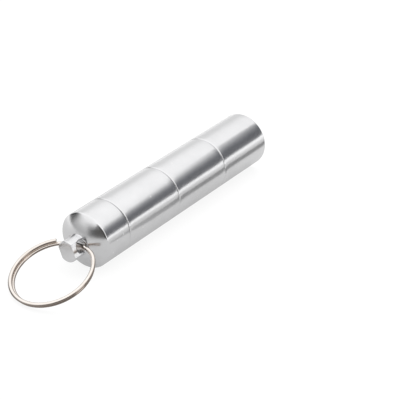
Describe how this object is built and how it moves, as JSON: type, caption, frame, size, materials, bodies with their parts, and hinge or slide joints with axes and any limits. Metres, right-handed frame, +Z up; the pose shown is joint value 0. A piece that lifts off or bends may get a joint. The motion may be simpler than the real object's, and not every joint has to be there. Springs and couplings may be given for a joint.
{
  "type": "travel pill organizer",
  "caption": "Slim metal travel pill holder: stacked screw-together round compartments under a domed cap with a drilled post and a split key ring.",
  "frame": {"origin": "centre of the overall box, on the surface the holder lies on", "axes": "+X along the stack from the cap to the base, +Z up, Y across"},
  "size_m": [0.1048, 0.0249, 0.017],
  "materials": {
    "turned_aluminium": "satin",
    "seal_rubber": "matte",
    "ring_steel": "polished"
  },
  "bodies": {
    "cap": {"cap": "turned_aluminium"},
    "upper_seal": {"seal_upper": "seal_rubber"},
    "upper": {"compartment_upper": "turned_aluminium"},
    "middle_seal": {"seal_middle": "seal_rubber"},
    "middle": {"compartment_middle": "turned_aluminium"},
    "lower_seal": {"seal_lower": "seal_rubber"},
    "lower": {"compartment_lower": "turned_aluminium"},
    "ring": {"split_ring": "ring_steel"}
  },
  "joints": [
    {"name": "upper_advance", "type": "slide", "parent": "cap", "child": "upper_seal", "axis": [1, 0, 0], "range_m": [0, 0.0061]},
    {"name": "upper_unscrew", "type": "hinge", "parent": "upper_seal", "child": "upper", "pos_m": [-0.01656, 0, 0.0085], "axis": [1, 0, 0], "range_deg": [0, 2160]},
    {"name": "middle_advance", "type": "slide", "parent": "upper", "child": "middle_seal", "axis": [1, 0, 0], "range_m": [0, 0.0061]},
    {"name": "middle_unscrew", "type": "hinge", "parent": "middle_seal", "child": "middle", "pos_m": [0.00684, 0, 0.0085], "axis": [1, 0, 0], "range_deg": [0, 2160]},
    {"name": "lower_advance", "type": "slide", "parent": "middle", "child": "lower_seal", "axis": [1, 0, 0], "range_m": [0, 0.0061]},
    {"name": "lower_unscrew", "type": "hinge", "parent": "lower_seal", "child": "lower", "pos_m": [0.03024, 0, 0.0085], "axis": [1, 0, 0], "range_deg": [0, 2160]},
    {"name": "ring_swing", "type": "hinge", "parent": "cap", "child": "ring", "pos_m": [-0.03031, 0, 0.00857], "axis": [0.0284, 0.9965, -0.0787], "range_deg": [-35, 100]}
  ],
  "couplings": [
    {"joint": "upper_advance", "follows": "upper_unscrew", "m_per_rad": 0.00015915},
    {"joint": "middle_advance", "follows": "middle_unscrew", "m_per_rad": 0.00015915},
    {"joint": "lower_advance", "follows": "lower_unscrew", "m_per_rad": 0.00015915}
  ]
}
